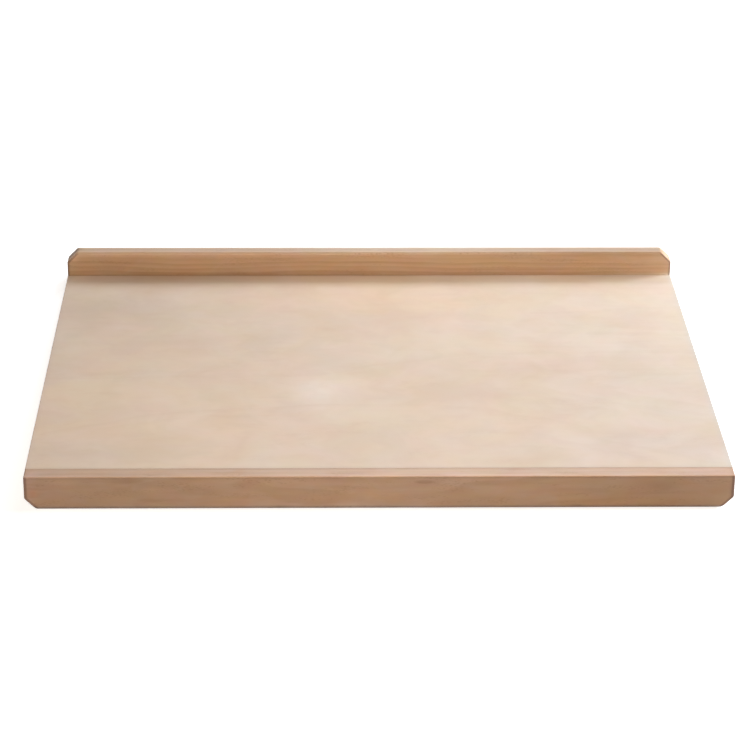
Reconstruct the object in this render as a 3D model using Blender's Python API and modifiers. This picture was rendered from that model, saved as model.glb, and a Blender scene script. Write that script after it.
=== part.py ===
"""Pastry board: a five-ply wood panel held between two hardwood rails.

The panel is rebated from above along its front edge and from below along its back edge. Each rebate leaves a
tongue of three plies, which is glued into a groove that runs the whole length of a rail. Both rails are the
same length of moulded strip. The back one stands up from the panel and keeps flour on the board. The front one
is the same strip turned upside down: its edge is level with the work surface, and it hangs below the panel to
catch the edge of the worktop. The strip's free edge, which hands and dough meet, is rounded more than the rest.

Units are metres. +X runs along the rails, +Y points to the back and +Z is up. The origin is the centre of the
panel's underside, the face that lies on the worktop.
"""

import math

import bmesh
import bpy

# Outer size
BOARD_WIDTH = 0.650  # along the rails
BOARD_DEPTH = 0.500  # front to back, over both rails

# Plywood panel
FACE_VENEER_THICKNESS = 0.0010
INNER_VENEER_THICKNESS = 0.0011
GLUE_LINE = 0.0003  # between one ply and the next
PANEL_ARRIS_RADIUS = 0.0005  # sanded edge along the panel's left and right sides

# Rails, both cut from one strip
RAIL_THICKNESS = 0.0175
RAIL_HEIGHT = 0.0330
RAIL_CORNER_CUT = 0.0110  # 45 degree cut across each free corner
RAIL_FREE_RADIUS = 0.0030  # both arrises of the free edge, the one away from the panel
RAIL_ARRIS_RADIUS = 0.0012  # every other arris but the one at the seam

# Tongue and groove
TONGUE_LENGTH = 0.0060
JOINT_GAP = 0.0003  # glue room on each side of the tongue and past its tip, and the seam at its shoulder

ARRIS_SEGMENTS = 3
FREE_SEGMENTS = 5
SHARP_ANGLE = math.radians(30)  # faces that meet at more than this have an arris between them
THINNEST_EDGE = 0.0001  # wood left beside the round of a face ply
CUTTER_OVERRUN = 0.0100  # how far a cutter passes the faces that it opens
TOUCHING = 1e-6  # two heights or depths this close are the same one
PARALLEL = 0.999  # an edge whose share along an axis is above this runs along it

# Each ply from the underside up: name, thickness, whether it is in the front and in the back tongue, and its wood
PLIES = (
    ("bottom_face_veneer", FACE_VENEER_THICKNESS, True, False, "face_veneer"),
    ("lower_crossband_veneer", INNER_VENEER_THICKNESS, True, False, "crossband_veneer"),
    ("core_veneer", INNER_VENEER_THICKNESS, True, True, "core_veneer"),
    ("upper_crossband_veneer", INNER_VENEER_THICKNESS, False, True, "crossband_veneer"),
    ("top_face_veneer", FACE_VENEER_THICKNESS, False, True, "face_veneer"),
)

# Linear base colour and roughness of each wood
WOODS = {
    "face_veneer": ((0.58, 0.45, 0.34), 0.52),
    "core_veneer": ((0.55, 0.41, 0.30), 0.60),
    "crossband_veneer": ((0.53, 0.38, 0.27), 0.60),
    "rail_wood": ((0.50, 0.32, 0.21), 0.50),
}

# Sizes that follow from the ones above
HALF_WIDTH = BOARD_WIDTH / 2
PANEL_THICKNESS = sum(ply[1] for ply in PLIES) + GLUE_LINE * (len(PLIES) - 1)
PANEL_MID_HEIGHT = PANEL_THICKNESS / 2
RAIL_FACE_Y = BOARD_DEPTH / 2 - RAIL_THICKNESS  # where a rail's inner face stands
SHOULDER_Y = RAIL_FACE_Y - JOINT_GAP  # where the full thickness of the panel ends
TONGUE_TIP_Y = RAIL_FACE_Y + TONGUE_LENGTH
TONGUE_PLIES_THICKNESS = FACE_VENEER_THICKNESS + 2 * (INNER_VENEER_THICKNESS + GLUE_LINE)


def clear_scene():
    """Remove every object that the file opened with."""
    for obj in list(bpy.data.objects):
        bpy.data.objects.remove(obj, do_unlink=True)


def make_collection(name):
    """Return a new collection, linked to the scene."""
    collection = bpy.data.collections.new(name)
    bpy.context.scene.collection.children.link(collection)
    return collection


def make_wood(name):
    """Return the Principled material of one wood."""
    color, roughness = WOODS[name]
    material = bpy.data.materials.new(name)
    material.use_nodes = True
    shader = material.node_tree.nodes["Principled BSDF"]
    shader.inputs["Base Color"].default_value = (*color, 1.0)
    shader.inputs["Roughness"].default_value = roughness
    shader.inputs["Metallic"].default_value = 0.0
    material.diffuse_color = (*color, 1.0)
    return material


def box_bmesh(low, high):
    """Return a bmesh of the box between two corners."""
    bm = bmesh.new()
    bmesh.ops.create_cube(bm, size=1.0)
    bmesh.ops.translate(bm, vec=(0.5, 0.5, 0.5), verts=bm.verts)
    bmesh.ops.scale(bm, vec=[b - a for a, b in zip(low, high)], verts=bm.verts)
    bmesh.ops.translate(bm, vec=low, verts=bm.verts)
    return bm


def edge_middle(edge):
    """Return the middle point of an edge."""
    return (edge.verts[0].co + edge.verts[1].co) / 2


def runs_at(edge, axis, height):
    """Tell whether an edge runs along an axis (0 for X, 1 for Y) at this height."""
    step = edge.verts[1].co - edge.verts[0].co
    along = abs(step[axis]) > PARALLEL * step.length
    return along and math.isclose(edge_middle(edge).z, height, abs_tol=TOUCHING)


def mark_arrises(bm, is_arris):
    """Give full bevel weight to the edges that is_arris picks."""
    weight = bm.edges.layers.float.new("bevel_weight_edge")
    for edge in bm.edges:
        edge[weight] = 1.0 if is_arris(edge) else 0.0


def mesh_from(bm, name):
    """Turn a bmesh into a mesh and free it."""
    mesh = bpy.data.meshes.new(name)
    bm.to_mesh(mesh)
    bm.free()
    return mesh


def add_piece(name, mesh, material, collection):
    """Return a new object of one wood, linked to a collection."""
    piece = bpy.data.objects.new(name, mesh)
    if not mesh.materials:
        mesh.materials.append(material)
    collection.objects.link(piece)
    return piece


def round_arrises(piece, radius):
    """Round the marked edges of a piece."""
    bevel = piece.modifiers.new("arris", "BEVEL")
    bevel.limit_method = "WEIGHT"
    bevel.width = radius
    bevel.segments = ARRIS_SEGMENTS
    bevel.use_clamp_overlap = True


def cut_with_box(piece, name, low, high, collection):
    """Cut the box between two corners, given in the piece's own axes, out of a piece."""
    cutter = bpy.data.objects.new(f"{piece.name}_{name}_cutter", mesh_from(box_bmesh(low, high), name))
    collection.objects.link(cutter)
    cutter.parent = piece
    cutter.hide_render = True
    cutter.display_type = "WIRE"
    cut = piece.modifiers.new(name, "BOOLEAN")
    cut.operation = "DIFFERENCE"
    cut.solver = "EXACT"
    cut.object = cutter


def make_ply(name, thickness, front_y, back_y, outer_face, material, collection):
    """Build one ply with its underside at height zero.

    outer_face is +1 for the ply on top of the panel, -1 for the one underneath and 0 for an inner one. The
    outer edges along the left and right sides of a face ply are sanded round.
    """
    bm = box_bmesh((-HALF_WIDTH, front_y, 0.0), (HALF_WIDTH, back_y, thickness))
    outer_height = thickness if outer_face > 0 else 0.0
    mark_arrises(bm, lambda edge: runs_at(edge, 1, outer_height))
    ply = add_piece(name, mesh_from(bm, name), material, collection)
    if outer_face:
        round_arrises(ply, min(PANEL_ARRIS_RADIUS, thickness - THINNEST_EDGE))
    return ply


def skim_tongue(ply, thickness, outer_face, cutters):
    """Thin a face ply by the joint gap where it is in the tongue.

    This leaves room for glue in a groove whose side is level with the panel's face.
    """
    past_x = HALF_WIDTH + CUTTER_OVERRUN
    past_y = TONGUE_TIP_Y + CUTTER_OVERRUN
    if outer_face > 0:
        low = (-past_x, SHOULDER_Y, thickness - JOINT_GAP)
        high = (past_x, past_y, thickness + CUTTER_OVERRUN)
    else:
        low = (-past_x, -past_y, -CUTTER_OVERRUN)
        high = (past_x, -SHOULDER_Y, JOINT_GAP)
    cut_with_box(ply, "skim", low, high, cutters)


def make_panel(materials, parts, cutters):
    """Lay the plies one on another, from the underside up."""
    plies = []
    underside = 0.0
    for index, (name, thickness, in_front_tongue, in_back_tongue, wood) in enumerate(PLIES):
        outer_face = {0: -1, len(PLIES) - 1: 1}.get(index, 0)
        front_y = -(TONGUE_TIP_Y if in_front_tongue else SHOULDER_Y)
        back_y = TONGUE_TIP_Y if in_back_tongue else SHOULDER_Y
        ply = make_ply(name, thickness, front_y, back_y, outer_face, materials[wood], parts)
        if outer_face:
            skim_tongue(ply, thickness, outer_face, cutters)
        ply.location.z = underside
        plies.append(ply)
        underside += thickness + GLUE_LINE
    return plies


def cut_corner(bm, end, head):
    """Saw off the free corner of a strip at its left (end -1) or right (end +1) end, at 45 degrees."""
    cut = bmesh.ops.bisect_plane(
        bm,
        geom=bm.verts[:] + bm.edges[:] + bm.faces[:],
        dist=TOUCHING,
        plane_co=(end * (HALF_WIDTH - RAIL_CORNER_CUT), 0.0, head),
        plane_no=(end, 0.0, 1.0),
        clear_outer=True,
    )
    bmesh.ops.edgeloop_fill(bm, edges=[item for item in cut["geom_cut"] if isinstance(item, bmesh.types.BMEdge)])


def make_rail_strip():
    """Build the mesh that both rails are cut from.

    It stands as the back rail does: its inner face is on the local XZ plane, its thickness runs to +Y, and
    local Z is zero at the middle of the panel. The lower edge is level with the panel's underside. The upper one
    is the free edge, with its arrises moulded round and its corners sawn off. Every other arris but the one at
    the seam is marked to be rounded.
    """
    foot = -PANEL_MID_HEIGHT
    head = foot + RAIL_HEIGHT
    bm = box_bmesh((-HALF_WIDTH, 0.0, foot), (HALF_WIDTH, RAIL_THICKNESS, head))
    bmesh.ops.bevel(
        bm,
        geom=[edge for edge in bm.edges if runs_at(edge, 0, head)],
        offset=RAIL_FREE_RADIUS,
        offset_type="OFFSET",
        affect="EDGES",
        segments=FREE_SEGMENTS,
        profile=0.5,
        material=-1,
    )
    for end in (-1, 1):
        cut_corner(bm, end, head)
    bmesh.ops.recalc_face_normals(bm, faces=bm.faces)

    def is_arris(edge):
        middle = edge_middle(edge)
        is_on_seam = abs(middle.y) < TOUCHING and math.isclose(middle.z, foot, abs_tol=TOUCHING)
        return edge.calc_face_angle(0.0) > SHARP_ANGLE and not is_on_seam

    mark_arrises(bm, is_arris)
    return mesh_from(bm, "rail_strip")


def make_rail(name, strip, side, material, parts, cutters):
    """Stand a rail at the back (side +1), or turn it upside down at the front (side -1), and groove it."""
    rail = add_piece(name, strip, material, parts)
    rail.location = (0.0, side * RAIL_FACE_Y, PANEL_MID_HEIGHT)
    rail.rotation_euler.x = 0.0 if side > 0 else math.pi
    round_arrises(rail, RAIL_ARRIS_RADIUS)
    panel_face = PANEL_MID_HEIGHT
    low = (-HALF_WIDTH - CUTTER_OVERRUN, -CUTTER_OVERRUN, panel_face - TONGUE_PLIES_THICKNESS - JOINT_GAP)
    high = (HALF_WIDTH + CUTTER_OVERRUN, TONGUE_LENGTH + JOINT_GAP, panel_face)
    cut_with_box(rail, "groove", low, high, cutters)
    return rail


def main():
    """Build the board."""
    clear_scene()
    parts = make_collection("pastry_board")
    cutters = make_collection("cutters")
    materials = {name: make_wood(name) for name in WOODS}

    pieces = make_panel(materials, parts, cutters)
    strip = make_rail_strip()
    pieces.append(make_rail("front_rail", strip, -1, materials["rail_wood"], parts, cutters))
    pieces.append(make_rail("back_rail", strip, +1, materials["rail_wood"], parts, cutters))

    reference = bpy.data.objects.new("board_reference", None)
    parts.objects.link(reference)
    for piece in pieces:
        piece.parent = reference


main()
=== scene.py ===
"""Pastry board: the finished look of every piece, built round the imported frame.

The board is a five-ply panel between two rails of steamed beech. A finer piece of the same shape and place
stands for each CAD node: its arrises are rounded and a little uneven from hand sanding, and its grain runs
the way the piece was cut. Dried glue lies between the plies and fills both joints.

Units are metres and colours are linear. +X runs along the rails, +Y points to the back and +Z is up. The
board leans a little on its floor, because the front rail hangs below the panel.
"""

from __future__ import annotations

import logging
import math
from dataclasses import dataclass
from enum import Enum
from functools import cache
from typing import Iterable, Sequence

import bmesh
import bpy
from mathutils import Matrix, Vector, noise


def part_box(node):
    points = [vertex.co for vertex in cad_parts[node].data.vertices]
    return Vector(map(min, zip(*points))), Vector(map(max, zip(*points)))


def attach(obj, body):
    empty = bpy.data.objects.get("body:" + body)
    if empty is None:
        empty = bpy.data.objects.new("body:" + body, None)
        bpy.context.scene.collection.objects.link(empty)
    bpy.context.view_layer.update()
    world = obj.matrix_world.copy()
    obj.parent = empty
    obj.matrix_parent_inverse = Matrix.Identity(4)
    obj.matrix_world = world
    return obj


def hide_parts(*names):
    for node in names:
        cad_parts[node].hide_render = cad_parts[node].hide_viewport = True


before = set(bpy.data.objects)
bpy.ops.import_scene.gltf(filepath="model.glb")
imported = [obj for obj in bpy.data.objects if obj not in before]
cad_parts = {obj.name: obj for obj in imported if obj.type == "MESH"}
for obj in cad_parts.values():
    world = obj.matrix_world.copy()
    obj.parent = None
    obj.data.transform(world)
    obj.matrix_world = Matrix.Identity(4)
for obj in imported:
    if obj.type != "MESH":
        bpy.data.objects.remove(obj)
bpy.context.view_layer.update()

Color = tuple[float, float, float]
Point = tuple[float, float, float]
Pair = tuple[float, float]
Socket = bpy.types.NodeSocket
Tree = bpy.types.NodeTree
Material = bpy.types.Material
Shape = bmesh.types.BMesh
Edge = bmesh.types.BMEdge
Feed = Socket | float | Sequence[float]

log = logging.getLogger("pastry_board")

X, Y, Z = 0, 1, 2
ORIGIN = (0.0, 0.0, 0.0)
WHITE = (1.0, 1.0, 1.0)
HALF_RIGHT_ANGLE = math.sqrt(0.5)  # sine and cosine of 45 degrees
TOUCHING = 1e-6  # two places this close are the same one
PARALLEL = 0.999  # an edge whose share along an axis is above this runs along it
SMOOTH_ANGLE = math.radians(32)  # faces that meet at less than this are shaded as one curve
TOP_SPOT_DEPTH = 0.02  # how deep a spot of the work surface reaches
FRONT_SPOT_DEPTH = 0.006  # and one of the front rail's face


class Graph:
    """Adds nodes to one node tree, each fed by plain values or by the sockets of earlier nodes."""

    def __init__(self, tree: Tree) -> None:
        """Work on one tree.

        Args:
            tree: The node tree that the nodes are added to.
        """
        self.tree = tree

    def add(
        self, kind: str, feeds: dict[str | int, Feed] | None = None, **settings: object
    ) -> bpy.types.Node:
        """Add one node.

        Args:
            kind: Blender's type name of the node.
            feeds: What each input, by its name or number, is linked or set to.
            **settings: The node's own options.

        Returns:
            The new node.
        """
        node = self.tree.nodes.new(kind)
        for name, setting in settings.items():
            setattr(node, name, setting)
        for key, feed in (feeds or {}).items():
            socket = node.inputs[key]
            if isinstance(feed, Socket):
                self.tree.links.new(feed, socket)
            elif socket.type == "RGBA":
                socket.default_value = (*feed, 1.0)
            else:
                socket.default_value = feed
        return node

    def math(self, operation: str, *feeds: Feed) -> Socket:
        """Return the result of a Math node.

        Args:
            operation: Blender's name of the operation.
            *feeds: Its numbers, in order.

        Returns:
            The number that it gives.
        """
        return self.add("ShaderNodeMath", dict(enumerate(feeds)), operation=operation).outputs[0]

    def vector(self, operation: str, *feeds: Feed) -> Socket:
        """Return the result of a Vector Math node.

        Args:
            operation: Blender's name of the operation.
            *feeds: Its vectors, in order.

        Returns:
            The vector that it gives, or the number where it gives one.
        """
        node = self.add("ShaderNodeVectorMath", dict(enumerate(feeds)), operation=operation)
        return node.outputs["Value" if operation in ("LENGTH", "DOT_PRODUCT") else "Vector"]

    def split(self, vector: Feed) -> Sequence[Socket]:
        """Return the three numbers of a vector."""
        return self.add("ShaderNodeSeparateXYZ", {0: vector}).outputs

    def join(self, x: Feed, y: Feed, z: Feed) -> Socket:
        """Return the vector of three numbers."""
        return self.add("ShaderNodeCombineXYZ", {0: x, 1: y, 2: z}).outputs[0]

    def smooth(self, value: Feed, start: Feed, end: Feed, low: float = 0.0, high: float = 1.0) -> Socket:
        """Return a smooth step.

        Args:
            value: The number that drives the step.
            start: Where the step begins.
            end: Where the step ends.
            low: What the step gives before it begins.
            high: What the step gives after it ends.

        Returns:
            The step's number.
        """
        feeds = {"Value": value, "From Min": start, "From Max": end, "To Min": low, "To Max": high}
        return self.add("ShaderNodeMapRange", feeds, interpolation_type="SMOOTHSTEP").outputs["Result"]

    def noise(self, vector: Feed, detail: float = 2.0, roughness: float = 0.5) -> Socket:
        """Return fractal noise from 0 to 1.

        Args:
            vector: The place, already in the noise's own units.
            detail: How many finer layers it has.
            roughness: How strong each finer layer is.

        Returns:
            The noise's number.
        """
        feeds = {"Vector": vector, "Scale": 1.0, "Detail": detail, "Roughness": roughness}
        return self.add("ShaderNodeTexNoise", feeds, noise_dimensions="3D").outputs[0]

    def swing(self, vector: Feed, reach: Feed, detail: float = 2.0) -> Socket:
        """Return noise that swings evenly either side of zero.

        Args:
            vector: The place, already in the noise's own units.
            reach: How far it swings.
            detail: How many finer layers it has.

        Returns:
            The noise's number.
        """
        return self.math("MULTIPLY", self.math("SUBTRACT", self.noise(vector, detail), 0.5), reach)

    def grainwise(self, place: Feed, along: float, across: float) -> Socket:
        """Return a place in a pattern's own units: so many a metre along the grain, and so many across it."""
        return self.vector("MULTIPLY", place, (along, across, across))

    def yearly(
        self, count: Feed, seed: float, rise: Pair, fall: float, years: Pair, faintest: float = 0.1
    ) -> Socket:
        """Return the dark line that ends each year's growth, in some years darker than in others.

        Args:
            count: How many years from the start a place is.
            seed: Moves the pattern of the years.
            rise: Where in a year the line begins and where it is full.
            fall: From where on it ends.
            years: The noise of a year whose line is faint, and of one whose line is full.
            faintest: How strong the faintest line is.

        Returns:
            The line's mask.
        """
        within = self.math("FRACT", count)
        year = self.noise(self.join(self.math("FLOOR", count), seed, 0.0), 0.0)
        line = self.math("MULTIPLY", self.smooth(within, *rise), self.smooth(within, 1.0, fall))
        return self.math("MULTIPLY", line, self.smooth(year, *years, faintest, 1.0))

    def flecks(self, place: Feed, crowd: Feed, gather: Pair, size: float, rim: float) -> Socket:
        """Return short flecks that crowd together in places.

        Args:
            place: The place, in units of one fleck.
            crowd: Noise that says where they crowd.
            gather: The noise where the first flecks show, and where they are largest.
            size: How large the largest are.
            rim: How wide their soft rims are.

        Returns:
            The flecks' mask.
        """
        feeds = {"Vector": place, "Scale": 1.0, "Randomness": 1.0}
        distance = self.add("ShaderNodeTexVoronoi", feeds, feature="F1").outputs["Distance"]
        return self.smooth(self.math("SUBTRACT", self.smooth(crowd, *gather, 0.0, size), distance), 0.0, rim)

    def tint(self, base: Feed, *layers: tuple[Feed, Color]) -> Socket:
        """Return a colour that each layer in turn multiplies by another.

        Args:
            base: The colour to begin with.
            *layers: How much of each change goes in, and what the colour is multiplied by where that is 1.

        Returns:
            The changed colour.
        """
        for share, times in layers:
            feeds = {0: share, 6: base, 7: times}
            base = self.add("ShaderNodeMix", feeds, data_type="RGBA", blend_type="MULTIPLY").outputs[2]
        return base

    def effect(self, tree: Tree, feeds: dict[str, Feed]) -> Sequence[Socket]:
        """Place a shared effect, with what each of its inputs is linked or set to, and return its outputs."""
        return self.add("ShaderNodeGroup", feeds, node_tree=tree).outputs


def emptied(owner: Material | bpy.types.World) -> Graph:
    """Take the nodes that Blender puts there out of a material or a world.

    Args:
        owner: The material or the world.

    Returns:
        The graph of its empty node tree.
    """
    owner.use_nodes = True
    owner.node_tree.nodes.clear()
    return Graph(owner.node_tree)


class Effect:
    """A shader node group under construction, with named inputs and outputs."""

    def __init__(self, name: str, inputs: dict[str, Feed], outputs: Sequence[str]) -> None:
        """Make the empty group.

        Args:
            name: The group's name.
            inputs: The start value of each input. A number makes a number socket, three make a vector socket.
            outputs: The names of the masks and values that the group puts out.
        """
        self.tree = bpy.data.node_groups.new(name, "ShaderNodeTree")
        for label, value in inputs.items():
            kind = "NodeSocketFloat" if isinstance(value, float) else "NodeSocketVector"
            socket = self.tree.interface.new_socket(name=label, in_out="INPUT", socket_type=kind)
            socket.default_value = value
        for label in outputs:
            self.tree.interface.new_socket(name=label, in_out="OUTPUT", socket_type="NodeSocketFloat")
        self.graph = Graph(self.tree)
        self.given = self.tree.nodes.new("NodeGroupInput").outputs
        self.gives = self.tree.nodes.new("NodeGroupOutput").inputs

    def put_out(self, label: str, socket: Socket) -> None:
        """Link a result to one of the group's outputs."""
        self.tree.links.new(socket, self.gives[label])


@cache
def sawn_grain() -> Tree:
    """Build the grain of wood sawn from a log whose heart is the X axis, as a solid pattern.

    A face that lies along the rings shows them as wide and wandering patches, a face across them as straight
    lines, and an end as arcs. The wood's rays show as short flecks.

    Returns:
        A group that gives Rings, Streaks, Flecks and Fibres, each from 0 to 1.
    """
    inputs = {"Vector": ORIGIN, "Ring Width": 0.0026, "Waver": 0.010, "Lift": 0.0}
    effect = Effect("sawn_grain", inputs, ("Rings", "Streaks", "Flecks", "Fibres"))
    g, given = effect.graph, effect.given
    place = given["Vector"]
    x, y, z = g.split(place)
    slow = g.swing(g.grainwise(place, 5.0, 20.0), given["Waver"])
    quick = g.swing(g.grainwise(place, 24.0, 110.0), 0.0014, 3.0)
    reach = g.vector("LENGTH", g.join(0.0, y, z))
    depth = g.math("ADD", g.math("ADD", reach, g.math("ADD", slow, quick)), given["Lift"])
    arc = g.math("MULTIPLY", g.math("ARCTAN2", z, y), reach)

    count = g.math("DIVIDE", depth, given["Ring Width"])
    effect.put_out("Rings", g.yearly(count, 0.37, (0.15, 0.80), 0.86, (0.30, 0.65)))

    in_log = g.join(x, depth, arc)
    streaks = g.vector("MULTIPLY", in_log, (11.0, 330.0, 190.0))
    effect.put_out("Streaks", g.smooth(g.noise(streaks, 3.0), 0.46, 0.76))

    rays = g.vector("MULTIPLY", in_log, (230.0, 45.0, 1500.0))
    crowd = g.noise(g.grainwise(place, 22.0, 160.0), 1.0)
    effect.put_out("Flecks", g.flecks(rays, crowd, (0.42, 0.66), 0.42, 0.16))
    effect.put_out("Fibres", g.noise(g.grainwise(place, 90.0, 2300.0), 3.0, 0.6))
    return effect.tree


@cache
def peeled_figure() -> Tree:
    """Build the figure of veneer peeled off a turning log, with its grain along X.

    The knife runs nearly level with the growth rings, so they show as a few wide and wandering contour lines.

    Returns:
        A group that gives Contours, Wisps, Flecks and Fibres, each from 0 to 1.
    """
    inputs = {"Vector": ORIGIN, "Contours": 30.0}
    effect = Effect("peeled_figure", inputs, ("Contours", "Wisps", "Flecks", "Fibres"))
    g, given = effect.graph, effect.given
    place = given["Vector"]
    hills = g.noise(g.grainwise(place, 1.3, 4.6), 1.0)
    ripples = g.swing(g.grainwise(place, 9.0, 34.0), 0.06, 3.0)
    height = g.math("MULTIPLY", g.math("ADD", hills, ripples), given["Contours"])
    effect.put_out("Contours", g.yearly(height, 0.61, (0.20, 0.90), 0.90, (0.3, 0.7)))

    sway = g.swing(g.grainwise(place, 9.0, 26.0), 0.030)
    drift = g.vector("ADD", place, g.join(0.0, sway, 0.0))
    elsewhere = (3.7, 9.2, 0.0)  # so that the wisps don't follow the hills
    wisps = g.vector("ADD", g.grainwise(drift, 22.0, 95.0), elsewhere)
    effect.put_out("Wisps", g.smooth(g.noise(wisps, 3.0, 0.55), 0.50, 0.76))

    crowd = g.noise(g.grainwise(place, 14.0, 70.0), 2.0)
    effect.put_out("Flecks", g.flecks(g.grainwise(place, 150.0, 1300.0), crowd, (0.46, 0.70), 0.36, 0.14))
    effect.put_out("Fibres", g.noise(g.grainwise(place, 70.0, 1700.0), 3.0, 0.6))
    return effect.tree


@cache
def growth_mottle() -> Tree:
    """Build the cloudy unevenness of a wood's colour, which follows no ring.

    Returns:
        A group that gives Cloud, Pink and Straw, each from 0 to 1.
    """
    inputs = {"Vector": ORIGIN, "Along": 16.0, "Across": 30.0}
    effect = Effect("growth_mottle", inputs, ("Cloud", "Pink", "Straw"))
    g, given = effect.graph, effect.given
    place = given["Vector"]
    sway = g.swing(g.grainwise(place, 14.0, 9.0), 0.045)
    rise = g.swing(g.grainwise(place, 8.0, 21.0), 0.060)
    bent = g.vector("ADD", place, g.join(rise, sway, sway))
    scaled = g.vector("MULTIPLY", bent, g.join(given["Along"], given["Across"], given["Across"]))
    for label, shift in (("Cloud", 0.0), ("Pink", 11.3), ("Straw", 27.9)):
        cloud = g.noise(g.vector("ADD", scaled, (shift, -shift, shift)), 3.0, 0.62)
        effect.put_out(label, g.smooth(cloud, 0.30, 0.70))
    return effect.tree


@cache
def rail_edge_masks() -> Tree:
    """Build the masks of a rail's edges, from the distances to the faces of its box and to its cut corners.

    Returns:
        A group that gives Arris on a level face next to an arris, Beneath on an upright one, Outline round
        the ends and cut corners, Free along the free edge, Seam at the panel and Ends. Each is 1 at the place
        that it is named for.
    """
    turning = (0.3, 0.7)  # shares of an arris's radius between which its round turns from upright to level
    past_seam = 1.5  # shares of a reach: where an arris's painted highlight and the painted shade beneath it are back to full beside the seam
    full_outline, full_free = 0.62, 0.45  # and up to where these two masks are full
    inputs = {
        **dict.fromkeys(("Vector", "Low", "High", "Seam Place"), ORIGIN),
        "Free Height": 0.0,
        "Corner Cut": 0.0,
        "Arris Radius": 0.001,
        "Arris Reach": 0.007,
        "Beneath Reach": 0.003,
        "Outline Reach": 0.002,
        "Free Reach": 0.004,
        "Seam Reach": 0.002,
        "End Reach": 0.012,
    }
    effect = Effect("rail_edge_masks", inputs, ("Arris", "Beneath", "Outline", "Free", "Seam", "Ends"))
    g, given = effect.graph, effect.given
    place = given["Vector"]
    above_low = g.vector("SUBTRACT", place, given["Low"])
    below_high = g.vector("SUBTRACT", given["High"], place)
    from_end, from_side, from_level = g.split(g.vector("MINIMUM", above_low, below_high))
    from_free = g.math("ABSOLUTE", g.math("SUBTRACT", g.split(place)[Z], given["Free Height"]))
    from_corner = g.math("SUBTRACT", g.math("ADD", from_end, from_free), given["Corner Cut"])
    from_cut = g.math("MULTIPLY", from_corner, HALF_RIGHT_ANGLE)

    away = g.vector("ABSOLUTE", g.vector("SUBTRACT", place, given["Seam Place"]))
    _, away_side, away_level = g.split(away)
    from_seam = g.math("MAXIMUM", away_side, away_level)
    effect.put_out("Seam", g.smooth(from_seam, given["Seam Reach"], 0.0))

    clear = g.smooth(from_seam, given["Seam Reach"], g.math("MULTIPLY", given["Seam Reach"], past_seam))
    upper, lower = (g.math("MULTIPLY", given["Arris Radius"], share) for share in turning)
    level = g.smooth(from_level, lower, upper)
    arris = g.math("MULTIPLY", g.smooth(from_side, given["Arris Reach"], 0.0), level)
    effect.put_out("Arris", g.math("MULTIPLY", arris, clear))
    upright = g.math("SUBTRACT", 1.0, level)
    beneath = g.math("MULTIPLY", g.smooth(from_level, given["Beneath Reach"], 0.0), upright)
    effect.put_out("Beneath", g.math("MULTIPLY", beneath, clear))

    across = g.math("MINIMUM", from_end, from_cut)
    lengthwise = g.math("MINIMUM", from_side, from_level)
    at_corner = g.math("MAXIMUM", from_end, from_cut)
    from_outline = g.math("MINIMUM", g.math("MAXIMUM", across, lengthwise), at_corner)
    near = g.math("MULTIPLY", given["Outline Reach"], full_outline)
    outline = g.smooth(from_outline, given["Outline Reach"], near)
    effect.put_out("Outline", g.math("MULTIPLY", outline, g.smooth(from_side, lower, upper)))
    near = g.math("MULTIPLY", given["Free Reach"], full_free)
    effect.put_out("Free", g.smooth(from_free, given["Free Reach"], near))
    effect.put_out("Ends", g.smooth(from_end, given["End Reach"], 0.0))
    return effect.tree


@cache
def soft_spot() -> Tree:
    """Build the mask of one spot, which dies away evenly round its centre.

    Returns:
        A group that gives Spot, which is 1 at the centre.
    """
    inputs = {"Vector": ORIGIN, "Centre": ORIGIN, "Reach": (0.01, 0.01, 0.01)}
    effect = Effect("soft_spot", inputs, ("Spot",))
    g, given = effect.graph, effect.given
    away = g.vector("DIVIDE", g.vector("SUBTRACT", given["Vector"], given["Centre"]), given["Reach"])
    squared = g.vector("DOT_PRODUCT", away, away)
    effect.put_out("Spot", g.math("EXPONENT", g.math("MULTIPLY", squared, -1.0)))
    return effect.tree


@cache
def handling() -> Tree:
    """Build the faint unevenness that sanding and hands leave on bare wood.

    Returns:
        A group that gives Smudges and Sanding, each from 0 to 1.
    """
    effect = Effect("handling", {"Vector": ORIGIN}, ("Smudges", "Sanding"))
    g, place = effect.graph, effect.given["Vector"]
    effect.put_out("Smudges", g.noise(g.grainwise(place, 9.0, 12.0), 3.0, 0.6))
    effect.put_out("Sanding", g.noise(g.grainwise(place, 420.0, 3600.0), 2.0))
    return effect.tree


@dataclass(frozen=True)
class Sheen:
    """How a finish takes the light: the constants of its shader, the same all over the piece."""

    specular: float = 0.50
    sheen: float = 0.03
    sheen_roughness: float = 0.45
    relief: float = 0.00012  # height of the surface's relief


class Dressing:
    """A material under construction, whose pattern follows the place and the direction that it faces."""

    def __init__(self, name: str) -> None:
        """Make the empty material.

        Args:
            name: The material's name.
        """
        self.material = bpy.data.materials.new(name)
        self.graph = emptied(self.material)
        where = self.graph.add("ShaderNodeTexCoord").outputs
        self.place, self.facing = where["Object"], where["Normal"]

    def complete(self, color: Feed, roughness: Feed, height: Feed, sheen: Sheen = Sheen()) -> Material:
        """Give the material its shader.

        Args:
            color: The base colour.
            roughness: The roughness.
            height: The height of the relief, from 0 to 1.
            sheen: The shader's constants.

        Returns:
            The material.
        """
        g = self.graph
        bump = g.add("ShaderNodeBump", {"Strength": 1.0, "Distance": sheen.relief, "Height": height})
        feeds = {
            "Base Color": color,
            "Roughness": roughness,
            "Normal": bump.outputs["Normal"],
            "Specular IOR Level": sheen.specular,
            "Sheen Weight": sheen.sheen,
            "Sheen Roughness": sheen.sheen_roughness,
        }
        shader = g.add("ShaderNodeBsdfPrincipled", feeds)
        g.add("ShaderNodeOutputMaterial", {"Surface": shader.outputs["BSDF"]})
        return self.material


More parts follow.
